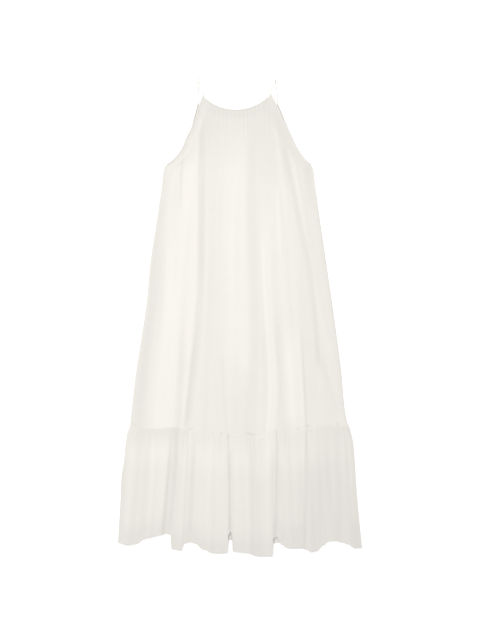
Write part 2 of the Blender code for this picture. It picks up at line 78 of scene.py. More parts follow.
# Ruffle of the front tier, left to right, a row for each crest, trough or edge of a flat top:
# x at the seam, x at the hem, height above the back, y of the hem
flutes = np.array([
    (-0.319, -0.354, 0.0000, -0.656), (-0.296, -0.328, 0.0040, -0.662), (-0.273, -0.302, 0.0036, -0.659),
    (-0.257, -0.278, 0.0030, -0.645), (-0.244, -0.264, 0.0056, -0.639), (-0.204, -0.231, 0.0062, -0.632),
    (-0.190, -0.216, 0.0012, -0.629), (-0.174, -0.201, 0.0004, -0.631), (-0.161, -0.1985, 0.0028, -0.674),
    (-0.152, -0.170, 0.0048, -0.678), (-0.144, -0.162, 0.0040, -0.656), (-0.128, -0.144, 0.0016, -0.653),
    (-0.116, -0.132, 0.0046, -0.656), (-0.099, -0.107, 0.0054, -0.674), (-0.073, -0.078, 0.0056, -0.685),
    (-0.052, -0.052, 0.0054, -0.686), (-0.040, -0.0365, 0.0052, -0.684), (-0.035, -0.0335, 0.0042, -0.632),
    (-0.029, -0.0265, 0.0012, -0.624), (-0.026, -0.0235, 0.0022, -0.632), (-0.023, -0.0210, 0.0044, -0.680),
    (-0.010, -0.004, 0.0058, -0.682), (0.012, 0.024, 0.0050, -0.685), (0.034, 0.048, 0.0036, -0.694),
    (0.046, 0.062, 0.0030, -0.695), (0.062, 0.079, 0.0040, -0.695), (0.090, 0.0935, 0.0050, -0.694),
    (0.100, 0.0970, 0.0046, -0.641), (0.112, 0.1070, 0.0020, -0.638), (0.125, 0.121, 0.0042, -0.661),
    (0.137, 0.139, 0.0046, -0.671), (0.160, 0.166, 0.0056, -0.671), (0.184, 0.180, 0.0050, -0.671),
    (0.197, 0.192, 0.0028, -0.675), (0.209, 0.204, 0.0044, -0.682), (0.219, 0.222, 0.0042, -0.679),
    (0.233, 0.240, 0.0032, -0.662), (0.249, 0.258, 0.0027, -0.650), (0.268, 0.276, 0.0042, -0.649),
    (0.285, 0.295, 0.0030, -0.654), (0.296, 0.312, 0.0038, -0.659), (0.306, 0.332, 0.0034, -0.671),
    (0.3155, 0.354, 0.0000, -0.671)])


# Helpers on whole arrays

def ease(t):  # 0 to 1, level at both ends: half a cosine wave
    return 0.5 - 0.5 * np.cos(math.pi * np.clip(t, 0, 1))


def through(stations, values, at):  # Catmull-Rom: cubic between stations, slopes from their neighbours
    stations, values = np.asarray(stations, float), np.asarray(values, float)
    slopes = np.gradient(values, stations)
    at = np.clip(at, stations[0], stations[-1])
    i = np.clip(np.searchsorted(stations, at, side="right") - 1, 0, len(stations) - 2)
    span = stations[i + 1] - stations[i]
    t = (at - stations[i]) / span
    level = values[i] * (2 * t**3 - 3 * t**2 + 1) + values[i + 1] * (3 * t**2 - 2 * t**3)
    return level + span * (slopes[i] * (t**3 - 2 * t**2 + t) + slopes[i + 1] * (t**3 - t**2))


def crest(distance, left, right):  # squared cosine: 1 on the line, 0 at the width to either side
    t = np.where(distance < 0, distance / left, distance / right)
    return np.cos(0.5 * math.pi * np.clip(t, -1, 1)) ** 2


drifts = {
    "bend": 1.6, "fastBend": 0.9, "fastRate": 5.1,  # radians by which a phase wanders, slowly and faster
    "level": 0.55, "reach": 0.45, "length": 0.8, "slant": 0.37,  # how the height of a wave comes and goes
}


def wander(across, along, waves, seed):
    # Sum of sine waves across the cloth, each of whose phase drifts slowly along it; waves holds
    # (wavelength across, length of the drift, height)
    draw = np.random.default_rng(seed)
    total = np.zeros_like(across)
    for length, drift, height in waves:
        phase = draw.uniform(0, 2 * math.pi, 4)
        bend = drifts["bend"] * np.sin(2 * math.pi * along / drift + phase[0])
        bend += drifts["fastBend"] * np.sin(drifts["fastRate"] * along / drift + phase[1])
        turn = 2 * math.pi * along / (drift * drifts["length"]) + phase[2] + across / length * drifts["slant"]
        swell = drifts["level"] + drifts["reach"] * np.sin(turn)
        total += height * swell * np.sin(2 * math.pi * across / length + bend + phase[3])
    return total


# How the dress widens downwards: y, half width
spread = [(0.44, 0.215), (-0.317, 0.320), (-0.68, 0.354)]


def halfWidth(y):  # for lines that fan out with the dress
    heights, widths = np.array(spread).T
    return np.interp(-y, -heights, widths)


backBody = {
    "columns": 110, "rows": 120, "cloth": (0.60, 0.95), "dip": 0.036, "seamDip": 0.024,
    "rise": 0.0010, "folds": 7, "foldStart": 0.42, "foldGrow": 0.25, "sideFade": 0.02, "tone": 0.3,
}
backTier = {
    "columns": 180, "rows": 60, "cloth": (1.00, 0.33),
    # tone 0.8 is painted light: the back tier stays light where it lies in shadow in the notch of the front
    # tier
    "rise": 0.0016, "flutes": 12, "flutePower": 1.5, "fluteGrow": 0.10, "tone": 0.8,
    "hem": [(-0.354, -0.655), (-0.310, -0.645), (-0.235, -0.627), (-0.130, -0.634), (-0.030, -0.647),
            (0.060, -0.652), (0.102, -0.657), (0.150, -0.650), (0.250, -0.642), (0.310, -0.648),
            (0.354, -0.670)],
}


def backHeight(x, y):  # low squared-sine folds that fan out with the dress, and the flutes of the tier
    across = x / halfWidth(y) * 0.5 + 0.5
    down = ease((backBody["foldStart"] - y) / backBody["foldGrow"])
    folds = backBody["rise"] * down * np.clip(np.sin(across * backBody["folds"] * 2 * math.pi), 0, 1) ** 2
    waves = np.clip(-np.cos(across * backTier["flutes"] * 2 * math.pi), 0, 1) ** backTier["flutePower"]
    inTier = ease((sides[-1][1] - y) / backTier["fluteGrow"])
    level = folds * (1 - inTier) + backTier["rise"] * inTier * waves
    return level * ease((halfWidth(y) - np.abs(x)) / backBody["sideFade"])


# Folds of the front, from the upper to the lower end: upper y, lower y, x at five even steps, width
# of the flat top, fall to its left, fall to its right, height, fade in, fade out, lean
bodyFolds = {
    "left plateau": (
        0.645, -0.160, (-0.113, -0.121, -0.126, -0.127, -0.139),
        0.062, 0.042, 0.028, 0.0058, 0.23, 0.22, 0.1),
    "left strap ridge": (
        0.635, 0.390, (-0.1135, -0.115, -0.118, -0.121, -0.123), 0, 0.013, 0.014, 0.0018, 0.03, 0.12, 0),
    "left low plateau": (
        0.130, -0.360, (-0.160, -0.172, -0.182, -0.190, -0.196), 0.025, 0.068, 0.021, 0.0038, 0.28, 0, 0.2),
    "ridge beside it": (
        0.080, -0.360, (-0.129, -0.138, -0.149, -0.158, -0.165), 0, 0.012, 0.014, 0.0014, 0.10, 0, 0.2),
    "valley beside the plateau": (
        0.620, -0.350, (-0.106, -0.107, -0.108, -0.1235, -0.154),
        0.004, 0.015, 0.016, -0.0026, 0.22, 0.06, 0),
    "left side groove": (
        0.460, -0.330, (-0.189, -0.232, -0.249, -0.273, -0.296), 0, 0.025, 0.024, -0.0028, 0.06, 0.10, 0),
    "groove under the armhole": (
        0.527, 0.295, (-0.157, -0.161, -0.166, -0.168, -0.170), 0, 0.008, 0.034, -0.0021, 0.05, 0.05, 0),
    "centre": (
        0.645, -0.270, (0.011, 0.011, 0.014, 0.022, 0.020), 0, 0.100, 0.034, 0.0034, 0.28, 0.22, 0),
    "right of centre": (
        0.420, -0.080, (0.150, 0.152, 0.156, 0.160, 0.160), 0.075, 0.030, 0.040, 0.0017, 0.14, 0.14, 0),
    "centre groove": (
        0.527, -0.360, (0.042, 0.044, 0.050, 0.050, 0.040), 0.014, 0.020, 0.014, -0.0011, 0.16, 0, 0),
    "upper groove": (
        0.411, 0.150, (-0.052, -0.052, -0.052, -0.052, -0.052), 0, 0.012, 0.012, -0.0004, 0.08, 0.08, 0),
    "groove over the slit": (
        -0.024, -0.360, (-0.051, -0.049, -0.045, -0.039, -0.032), 0, 0.012, 0.012, -0.0010, 0.12, 0, 0),
    "ridge right of centre": (
        0.300, -0.360, (0.076, 0.085, 0.094, 0.102, 0.094), 0.013, 0.010, 0.021, 0.0031, 0.18, 0, 0.1),
    "low groove": (
        0.049, -0.360, (0.108, 0.116, 0.127, 0.136, 0.141), 0.006, 0.017, 0.024, -0.0014, 0.14, 0, 0),
    "short ridge": (
        0.397, 0.150, (0.108, 0.112, 0.115, 0.117, 0.120), 0, 0.009, 0.010, 0.0011, 0.08, 0.08, 0),
    "right strap ridge": (
        0.645, 0.235, (0.096, 0.107, 0.119, 0.133, 0.142), 0, 0.016, 0.014, 0.0013, 0.05, 0.14, 0),
    "right ridge": (
        0.020, -0.360, (0.163, 0.170, 0.176, 0.181, 0.184), 0.016, 0.052, 0.014, 0.0047, 0.16, 0.09, 0.4),
    "long diagonal groove": (
        0.513, -0.200, (0.129, 0.166, 0.202, 0.2235, 0.233), 0, 0.018, 0.012, -0.0027, 0.06, 0.10, 0),
    "end of the diagonal": (
        -0.040, -0.320, (0.220, 0.235, 0.257, 0.279, 0.295), 0, 0.016, 0.014, -0.0016, 0.06, 0.06, 0),
    "armhole ridge": (
        0.500, 0.170, (0.142, 0.160, 0.177, 0.191, 0.203), 0, 0.014, 0.014, 0.0013, 0.06, 0.12, 0),
    "right side ridge": (
        0.130, -0.180, (0.213, 0.229, 0.244, 0.262, 0.280), 0, 0.018, 0.016, 0.0013, 0.08, 0.08, 0),
}


def foldHeight(x, y):  # every fold: a flat top with squared-cosine falls about a line, and its lean
    height, lean = np.zeros_like(x), np.zeros_like(x)
    for top, bottom, line, flat, left, right, rise, fadeIn, fadeOut, tilt in bodyFolds.values():
        share = (top - y) / (top - bottom)
        near = np.where((share >= 0) & (share <= 1), 1.0, 0.0)
        near = near * (ease((top - y) / fadeIn) if fadeIn else 1)
        near = near * (ease((y - bottom) / fadeOut) if fadeOut else 1)
        distance = x - through(np.linspace(0, 1, 5), line, share)
        distance = np.where(distance < 0, np.minimum(distance + flat, 0), distance)
        part = rise * near * crest(distance, left, right)
        height += part
        lean += tilt * part
    return height, lean


def edgesAt(sections, v):  # left and right edge points, evenly spaced down the left edge
    table = np.array(sections)
    steps = np.hypot(np.diff(table[:, 0]), np.diff(table[:, 1]))
    length = np.concatenate(([0], np.cumsum(steps)))
    at = np.interp(v * length[-1], length, np.arange(len(table)))
    return [through(np.arange(len(table)), column, at) for column in table.T], at


body = {
    "columns": 236, "rows": 196, "cloth": (0.62, 0.99),  # grid of the panel and size of its UV map
    "neckDip": 0.0464, "neckRound": 0.6,  # dip of the neckline and how square its arch is
    "seamReach": 0.417,  # height above the tier seam that bends with it
    "loft": 0.0062, "neckLoft": 0.25, "neckFold": 0.35, "neckGrow": 2.0,  # less loft and fold at the neck
    "underarm": 0.42, "underarmFade": 0.16,  # above it the edges ease, below it they roll
    "sideRoll": 0.018, "armholeEase": 0.022, "rightArmholeEase": 0.034,
    "rightSpread": 0.45, "rightSpreadWidth": 0.12,  # share of the loft that falls slowly to the right side
    "neckEdge": 0.0034, "edgeStart": 0.29, "edgeFade": 0.16,  # room for the cords at the upper edges
    "crinkle": ((0.031, 0.9, 0.00010), (0.013, 0.5, 0.00004), (0.0083, 0.35, 0.00003)),
    "crinkleSeed": 3, "crinkleFan": 0.27,
    # tick: dent of the gathers above the seam, whose marks also carry painted shade
    "tick": 0.0011, "tickPlace": 0.0035, "tickWidth": 0.0036, "tickPaintedShade": 0.75,
    "full": 0.0088, "fullPower": 1.3,  # height above the back at which the cloth takes its full colour; lower down it is painted shade, partly the sheer look
    "neckPaintedShade": 0.42, "neckShadeStart": 0.36, "neckShadeFade": 0.25,  # painted shade at the neck gathers: how dark, where it starts, its fade
    # painted shade along the left edge, partly its sheer look, over this width
    "leftEdgePaintedShade": 0.66, "leftWidth": 0.084,
}


def planOf(sections, u, v, dip, seamY):
    # Straight lines between the edges, dipped by an arch at the neck and bent towards the line of the seam
    (leftX, leftY, rightX, rightY), at = edgesAt(sections, v)
    arch = np.sin(math.pi * np.clip(u, 0, 1))
    neckShare = np.clip(1 - at / (len(sections) - len(sides)), 0, 1)
    x = leftX + (rightX - leftX) * u
    y = leftY + (rightY - leftY) * u
    low = np.clip(1 - (y - sides[-1][1]) / body["seamReach"], 0, 1) ** 2
    inside = np.minimum(x - leftX, rightX - x)
    return x, y - dip * neckShare * arch ** body["neckRound"] + (seamY - sides[-1][1]) * low, inside, at


gathers = {
    "count": 17, "leftX": -0.10, "rightX": 0.088, "uneven": 0.003, "width": 0.0052, "rise": 0.0006,
    "start": 0.615, "below": 0.012, "fan": 0.6, "taper": 1.3,
    "lengths": (0.06, 0.17), "heights": (0.5, 1.3),  # of each, at random between the two
}
gatherDraw = np.random.default_rng(41)
gatherX = np.linspace(gathers["leftX"], gathers["rightX"], gathers["count"])
gatherX = np.sort(gatherX + gatherDraw.uniform(-gathers["uneven"], gathers["uneven"], gathers["count"]))
gatherLength = gatherDraw.uniform(*gathers["lengths"], gathers["count"])
gatherHeight = gatherDraw.uniform(*gathers["heights"], gathers["count"])


def neckGathers(x, y):  # narrow crests that hang from the neckline, each of its own length
    total = np.zeros_like(x)
    for centre, length, height in zip(gatherX, gatherLength, gatherHeight):
        fade = np.clip((y - (gathers["start"] - gathers["below"] - length)) / length, 0, 1)
        line = centre * (1 + (gathers["start"] - y) * gathers["fan"])
        rise = gathers["rise"] * height * fade ** gathers["taper"]
        total += rise * crest(x - line, gathers["width"], gathers["width"])
    return total


def markHeight(x, column):  # squared-cosine bumps at the marks of the seam
    return sum(row[column] * crest(x - row[0], row[1], row[1]) for row in seamMarks)


def frontBody(u, v):
    # The plan between the edges; its height is the back's, a layer, the loft that rolls down to the
    # side seams, the folds, the neck gathers and a faint vertical crinkle
    seamY = through(*zip(*seamLine), flutes[0, 0] + (flutes[-1, 0] - flutes[0, 0]) * u)
    x, y, inside, at = planOf(armholeFront + sides, u, v, body["neckDip"], seamY)
    atSide = ease((body["underarm"] - y) / body["underarmFade"])
    rounded = np.sqrt(1 - (1 - np.clip(inside / body["sideRoll"], 0, 1)) ** 2)
    atRight = u > 0.5
    rounded += np.where(atRight, body["rightSpread"] * (ease(inside / body["rightSpreadWidth"]) - rounded), 0)
    armholeEase = np.where(atRight, body["rightArmholeEase"], body["armholeEase"])
    roll = rounded * atSide + ease(inside / armholeEase) * (1 - atSide)
    below = np.clip(at - len(armholeFront) + 1, 0, 1)
    edge = body["neckEdge"] * ease((y - body["edgeStart"]) / body["edgeFade"]) * (1 - below * (1 - roll))
    fromNeck = np.clip(at / body["neckGrow"], 0, 1)
    folds, lean = foldHeight(x, y)
    loft = body["loft"] * roll * (body["neckLoft"] + (1 - body["neckLoft"]) * fromNeck)
    own = loft + folds * (body["neckFold"] + (1 - body["neckFold"]) * fromNeck) * roll
    fine = wander(x / halfWidth(y) * body["crinkleFan"], y, body["crinkle"], body["crinkleSeed"])
    own = np.maximum(own + (neckGathers(x, y) + fine) * roll, 0)
    # Colour: painted shade in troughs and low places, partly the sheer look of the cloth
    filled = own + np.where(atRight, body["loft"] * (1 - roll), 0)  # no painted edge shade at the right
    fullnessAndPaintedShade = np.clip(filled / body["full"], 0, 1) ** body["fullPower"]
    # painted shade at the neck
    fullnessAndPaintedShade = fullnessAndPaintedShade - body["neckPaintedShade"] * ease((y - body["neckShadeStart"]) / body["neckShadeFade"])
    # painted shade along the left edge, partly its sheer look
    fullnessAndPaintedShade = fullnessAndPaintedShade * (1 - body["leftEdgePaintedShade"] * (1 - ease(inside / body["leftWidth"])) * (u < 0.5))
    # painted shade in the gather ticks above the seam, which also dent the cloth
    ticks = markHeight(x, 2) * np.exp(-(((y - seamY - body["tickPlace"]) / body["tickWidth"]) ** 2)) * roll
    fullnessAndPaintedShade = fullnessAndPaintedShade - body["tickPaintedShade"] * ticks
    own = own + edge - body["tick"] * ticks
    return x + lean * roll, y, under / 2 + backHeight(x, y) + under + gap + own, fullnessAndPaintedShade


def fluteTable(at, column):  # half cosine waves between the rows
    i = np.clip(np.floor(at).astype(int), 0, len(flutes) - 2)
    return flutes[i, column] + (flutes[i + 1, column] - flutes[i, column]) * ease(at - i)


tier = {
    "columns": 336, "rows": 130, "cloth": (1.00, 0.35),
    "swellWidth": 0.06, "opens": 0.32, "topFade": 0.45,  # shares of its length in which the ruffle opens
    "puff": 0.0022, "puffBase": 0.8, "puffMark": 0.7, "puffWidth": 0.0060, "puffFade": 0.014,
    "gathers": 62, "gatherRise": 0.00035, "gatherStart": 0.006, "gatherTaper": 1.2,
    "gatherLengths": (0.10, 0.42), "gatherDrift": ((17, 0.6), (41, 0.4)),  # uneven: waves, reach of each
    "crinkle": ((0.027, 0.5, 0.00012), (0.012, 0.3, 0.00005)),
    "crinkleSeed": 5, "crinkleWidth": 0.6, "crinkleSlant": 0.02, "crinkleStart": 0.03,
    "hemBand": 0.009, "hemBandTop": 1.5, "hemRise": 0.0004,
    "full": 0.0090, "fill": 0.0006, "rightFill": 0.006, "rightFillWidth": 0.02,
    "sheerAndShade": 0.25, "topPaintedShade": 0.38, "topShadeFade": 0.3,  # painted shade, partly the sheer look: darker down the ruffle and at its top
    "leftTopPaintedShade": 0.42, "leftStart": -0.14, "leftFade": 0.05,
    # painted shade towards the right of the tier
    "rightPaintedShade": 0.35, "rightStart": 0.06, "rightFade": 0.16, "rightTop": 0.38, "rightDown": 1.02,
    # painted highlight at the swellings of the seam marks, and its fade below the seam
    # painted shade towards the hem
    "hemPaintedShade": 0.50, "hemStart": 0.75, "markPaintedHighlight": 0.15, "markFade": 0.008,
}
tickDraw = np.random.default_rng(8)
tickPhase = tickDraw.uniform(0, 2 * math.pi, 3)  # one for each drift of the gathers, and a spare
tickLength = tickDraw.uniform(*tier["gatherLengths"], tier["gathers"] + 2)


# How far the sides of the tier swell out: share of its length, to the left, to the right
sideSwells = [
    (0.00, 0.0000, 0.0000), (0.05, 0.0050, 0.0035), (0.12, 0.0068, 0.0062), (0.30, 0.0072, 0.0058),
    (0.42, 0.0095, 0.0038), (0.60, 0.0062, 0.0016), (0.85, 0.0022, 0.0002), (1.00, 0.0000, 0.0000)]


def sideSwell(seamX, v):  # by the table at each side, fading inwards by a cosine step over a width
    swell, atLeft, atRight = np.array(sideSwells).T
    fromLeft = ease(1 - (seamX - flutes[0, 0]) / tier["swellWidth"])
    fromRight = ease(1 - (flutes[-1, 0] - seamX) / tier["swellWidth"])
    return fromRight * through(swell, atRight, v) - fromLeft * through(swell, atLeft, v)


def frontTier(u, v):
    # Columns follow the crests and troughs of the ruffle, which open from the seam down as one less the
    # square of the share left; under the seam it puffs up, a cosine step times an exponential, and its
    # small gathers, cosine waves, run out at uneven lengths
    at = u * (len(flutes) - 1)
    rows = np.arange(len(flutes))
    seamX, hemX = np.interp(at, rows, flutes[:, 0]), np.interp(at, rows, flutes[:, 1])
    across = (seamX - flutes[0, 0]) / (flutes[-1, 0] - flutes[0, 0])
    topX, topY, topZ, _ = frontBody(across, np.ones_like(across))
    height, hemY = fluteTable(at, 2), fluteTable(at, 3)
    x = topX + (hemX - topX) * v + sideSwell(seamX, v)
    y = topY - seamGap + (hemY - topY + seamGap) * v
    down = topY - y
    marks = markHeight(topX, 3)
    rest = under / 2 + backHeight(x, y) + under + gap
    topOwn = topZ - under * 1.5 - gap - backHeight(topX, topY)
    opened = 1 - (1 - np.clip(v / tier["opens"], 0, 1)) ** 2
    side = np.clip(np.minimum(at, len(flutes) - 1 - at), 0, 1)
    count = across * tier["gathers"]
    for (waves, reach), phase in zip(tier["gatherDrift"], tickPhase):
        count = count + reach * np.sin(across * waves + phase)
    length = np.interp(count, np.arange(-1, tier["gathers"] + 1), tickLength)
    ticks = np.cos(2 * math.pi * count) * np.clip(down / tier["gatherStart"], 0, 1)
    ticks = ticks * np.clip(1 - v / length, 0, 1) ** tier["gatherTaper"]
    puff = tier["puff"] * (tier["puffBase"] + tier["puffMark"] * marks)
    puff = puff * ease(down / tier["puffWidth"]) * np.exp(-down / tier["puffFade"])
    slanted = across * tier["crinkleWidth"] + tier["crinkleSlant"] * v
    fine = wander(slanted, y, tier["crinkle"], tier["crinkleSeed"])
    fine = fine * np.clip(down / tier["crinkleStart"], 0, 1)
    hemBand = tier["hemRise"] * ease((y - hemY) / -tier["hemBand"] + tier["hemBandTop"])
    own = height * opened + topOwn * (1 - ease(v / tier["topFade"]))
    own = np.maximum(own + side * (tier["gatherRise"] * ticks + puff + fine + hemBand), 0)
    # Colour: painted shade down the ruffle, at its top, top left, right and hem, partly the sheer look; the
    # right end keeps its full colour
    toRight = ease((x - tier["rightStart"]) / tier["rightFade"])
    toLeft = ease((tier["leftStart"] - x) / tier["leftFade"])
    top = 1 - ease(v / tier["topShadeFade"])
    sheerAndShade = tier["topPaintedShade"] * top + tier["sheerAndShade"] * v + tier["leftTopPaintedShade"] * top * toLeft
    filled = own + tier["fill"] * side
    filled = filled + tier["rightFill"] * ease(1 - (flutes[-1, 0] - seamX) / tier["rightFillWidth"])
    fullnessAndPaintedShade = filled / tier["full"] * (1 - sheerAndShade)
    fullnessAndPaintedShade -= tier["rightPaintedShade"] * toRight * (tier["rightTop"] + tier["rightDown"] * v)
    fullnessAndPaintedShade -= tier["hemPaintedShade"] * ease((v - tier["hemStart"]) / (1 - tier["hemStart"])) * (1 + toRight)
    # painted highlight under the seam at its swellings
    return x, y, rest + own, fullnessAndPaintedShade + tier["markPaintedHighlight"] * marks * np.exp(-down / tier["markFade"])


def backBodyShape(u, v):  # the plan between its edges, on the low folds of the back; its seam sags as a sine
    seamY = sides[-1][1] - backBody["seamDip"] * np.sin(math.pi * u)
    x, y = planOf(armholeBack + sides, u, v, backBody["dip"], seamY)[:2]
    return x, y, under / 2 + backHeight(x, y), np.full_like(x, backBody["tone"])


def backTierShape(u, v):  # straight from the back's seam to its own hem, on the flutes of the back
    seamU = np.linspace(0, 1, 201)
    seamX, seamY = backBodyShape(seamU, np.ones_like(seamU))[:2]
    topX = seamX[0] + (seamX[-1] - seamX[0]) * u
    topY = np.interp(topX, seamX, seamY)
    hemX = flutes[0, 1] + (flutes[-1, 1] - flutes[0, 1]) * u
    hemY = through(*zip(*backTier["hem"]), hemX)
    x = topX + (hemX - topX) * v + sideSwell(topX, v)
    y = topY - gap + (hemY - topY + gap) * v
    return x, y, under / 2 + backHeight(x, y), np.full_like(x, backTier["tone"])


# Materials

def node(tree, kind, place, **values):
    made = tree.nodes.new(kind)
    made.location = place
    for name, value in values.items():
        if name in made.inputs:
            made.inputs[name].default_value = value
        else:
            setattr(made, name, value)
    return made


crepeLook = {
    "Roughness": 0.82, "Sheen Weight": 0.25, "Sheen Roughness": 0.45, "Specular IOR Level": 0.25,
}
crepeWeave = {
    "warp": 210.0, "weft": 190.0, "warpBend": 1.2, "weftBend": 1.6,  # scales of the textures, per metre
    "threadBump": 0.25, "threadHeight": 0.0002,
    "crinkle": 230.0, "crinkleStretch": 0.09, "crinkleDetail": 5.0, "crinkleRough": 0.6,
    "crinkleBump": 0.15, "crinkleHeight": 0.0006,
    "tone": 14.0, "toneDetail": 4.0, "toneReach": 0.25,
}
colours = {  # the full colour, and a darker one for painted shade in troughs and along edges, partly the sheer look where the cloth lies close
    "crepe": (0.817, 0.790, 0.742), "crepeSheerShaded": (0.712, 0.691, 0.652),
    "binding": (0.822, 0.800, 0.757), "bindingSheer": (0.79, 0.77, 0.73),
}


def clothMaterial(name, colour, dark):
    # Crepe: two crossed sets of fine threads and a crinkle that runs down the cloth, as bump, on the
    # piece's own UV map, in metres of cloth; its colour runs from the darker to the full one by an attribute
    # that holds painted shade in low places and along edges and a painted highlight at seam marks, partly
    # the sheer look of a cloth that is whiter where it stands full
    made = bpy.data.materials.new(name)
    made.use_nodes = True
    tree = made.node_tree
    link = tree.links.new
    surface = tree.nodes["Principled BSDF"]
    for setting, value in crepeLook.items():
        surface.inputs[setting].default_value = value
    cloth = node(tree, "ShaderNodeUVMap", (-1400, 0), uv_map="cloth")
    warp = node(tree, "ShaderNodeTexWave", (-900, 300), Scale=crepeWeave["warp"],
                Distortion=crepeWeave["warpBend"], wave_type="BANDS", bands_direction="X")
    weft = node(tree, "ShaderNodeTexWave", (-900, 0), Scale=crepeWeave["weft"],
                Distortion=crepeWeave["weftBend"], wave_type="BANDS", bands_direction="Y")
    stretch = node(tree, "ShaderNodeMapping", (-1150, -300), Scale=(1.0, crepeWeave["crinkleStretch"], 1.0))
    crinkle = node(tree, "ShaderNodeTexNoise", (-900, -300), Scale=crepeWeave["crinkle"],
                   Detail=crepeWeave["crinkleDetail"], Roughness=crepeWeave["crinkleRough"])
    tone = node(tree, "ShaderNodeTexNoise", (-900, -600), Scale=crepeWeave["tone"],
                Detail=crepeWeave["toneDetail"])
    link(cloth.outputs["UV"], stretch.inputs["Vector"])
    for texture in (warp, weft, tone):
        link(cloth.outputs["UV"], texture.inputs["Vector"])
    link(stretch.outputs["Vector"], crinkle.inputs["Vector"])
    threads = node(tree, "ShaderNodeMath", (-650, 200), operation="ADD")
    link(warp.outputs["Fac"], threads.inputs[0])
    link(weft.outputs["Fac"], threads.inputs[1])
    fine = node(tree, "ShaderNodeBump", (-300, 100), Strength=crepeWeave["threadBump"],
                Distance=crepeWeave["threadHeight"])
    link(threads.outputs["Value"], fine.inputs["Height"])
    coarse = node(tree, "ShaderNodeBump", (-100, -100), Strength=crepeWeave["crinkleBump"],
                  Distance=crepeWeave["crinkleHeight"])
    link(crinkle.outputs["Fac"], coarse.inputs["Height"])
    link(fine.outputs["Normal"], coarse.inputs["Normal"])
    link(coarse.outputs["Normal"], surface.inputs["Normal"])
    full = node(tree, "ShaderNodeAttribute", (-900, 600), attribute_name="fullnessAndPaintedShade")
    uneven = node(tree, "ShaderNodeMath", (-650, 400), operation="MULTIPLY_ADD")
    uneven.inputs[1].default_value = crepeWeave["toneReach"]
    uneven.inputs[2].default_value = -0.5 * crepeWeave["toneReach"]
    link(tone.outputs["Fac"], uneven.inputs[0])
    both = node(tree, "ShaderNodeMath", (-480, 500), operation="ADD", use_clamp=True)
    link(full.outputs["Fac"], both.inputs[0])
    link(uneven.outputs["Value"], both.inputs[1])
    # painted shade: the darker colour where the attribute is low
    shade = node(tree, "ShaderNodeMixRGB", (-300, 500), Color1=(*dark, 1), Color2=(*colour, 1))
    link(both.outputs["Value"], shade.inputs["Fac"])
    link(shade.outputs["Color"], surface.inputs["Base Color"])
    return made


paperLook = {"Base Color": (0.95, 0.95, 0.95, 1), "Roughness": 0.9, "Emission Color": (1, 1, 1, 1),
             "Emission Strength": 0.22}


def paperMaterial():
    made = bpy.data.materials.new("paper")
    made.use_nodes = True
    surface = made.node_tree.nodes["Principled BSDF"]
    for setting, value in paperLook.items():
        surface.inputs[setting].default_value = value
    return made


# Meshes

def gridFaces(columns, rows, closed=False):  # four corners of each cell of a grid of points, row by row
    width = columns if closed else columns + 1
    i, j = np.meshgrid(np.arange(columns), np.arange(rows))
    right = (i + 1) % width
    corners = (j * width + i, (j + 1) * width + i, (j + 1) * width + right, j * width + right)
    return np.stack(corners, axis=-1).reshape(-1, 4).tolist()


def meshObject(name, points, faces, material):
    mesh = bpy.data.meshes.new(name)
    mesh.from_pydata(points.tolist(), [], faces)
    mesh.shade_smooth()
    mesh.materials.append(material)
    made = bpy.data.objects.new(name, mesh)
    scene.collection.objects.link(made)
    return made


rowCrowding = 0.5  # 0 for even rows, near 1 for rows that crowd at both ends
cutEdge = 1.0  # angle in radians past which an edge of the cloth looks crisp


def clothPiece(name, shape, size, material, nodeName):
    # A grid of u across and v down, put on the shape, with a wall; its UV map is the cut in metres
    columns, rows = size["columns"], size["rows"]
    down = np.linspace(0, 1, rows + 1)
    down -= rowCrowding * np.sin(2 * math.pi * down) / (2 * math.pi)
    u, v = np.meshgrid(np.linspace(0, 1, columns + 1), down)
    x, y, z, fullnessAndPaintedShade = shape(u, v)
    points = np.stack((x, y, z), axis=-1).reshape(-1, 3)
    piece = meshObject(name, points, gridFaces(columns, rows), material)
    mesh = piece.data
    layer = mesh.uv_layers.new(name="cloth")
    corner = np.empty(len(mesh.loops), np.int32)
    mesh.loops.foreach_get("vertex_index", corner)
    cut = np.stack((u.ravel() * size["cloth"][0], (1 - v.ravel()) * size["cloth"][1]), axis=-1)
    layer.data.foreach_set("uv", cut[corner].ravel())
    toned = mesh.attributes.new("fullnessAndPaintedShade", "FLOAT", "POINT")
    toned.data.foreach_set("value", np.clip(fullnessAndPaintedShade, 0, 1).ravel())
    thick = piece.modifiers.new("Wall", "SOLIDIFY")
    thick.thickness = wall
    thick.offset = 0
    graph = bpy.context.evaluated_depsgraph_get()
    piece.data = bpy.data.meshes.new_from_object(piece.evaluated_get(graph))
    piece.modifiers.clear()
    piece.data.set_sharp_from_angle(angle=cutEdge)
    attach(piece, "root")
    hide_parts(nodeName)
    print(name, len(points), "points")
    return piece


cords = {
    "across": 0.0028, "sides": 14, "neckEnd": 0.035, "armholeEnd": 0.93,  # ends short of the corners
    "strapTop": 0.695, "turn": 0.0026, "leftX": -0.1205, "rightX": 0.1030, "strapGap": 0.0004,
    "neckPoints": 90, "armholePoints": 60, "strapPoints": 30, "turnPoints": 14,
}


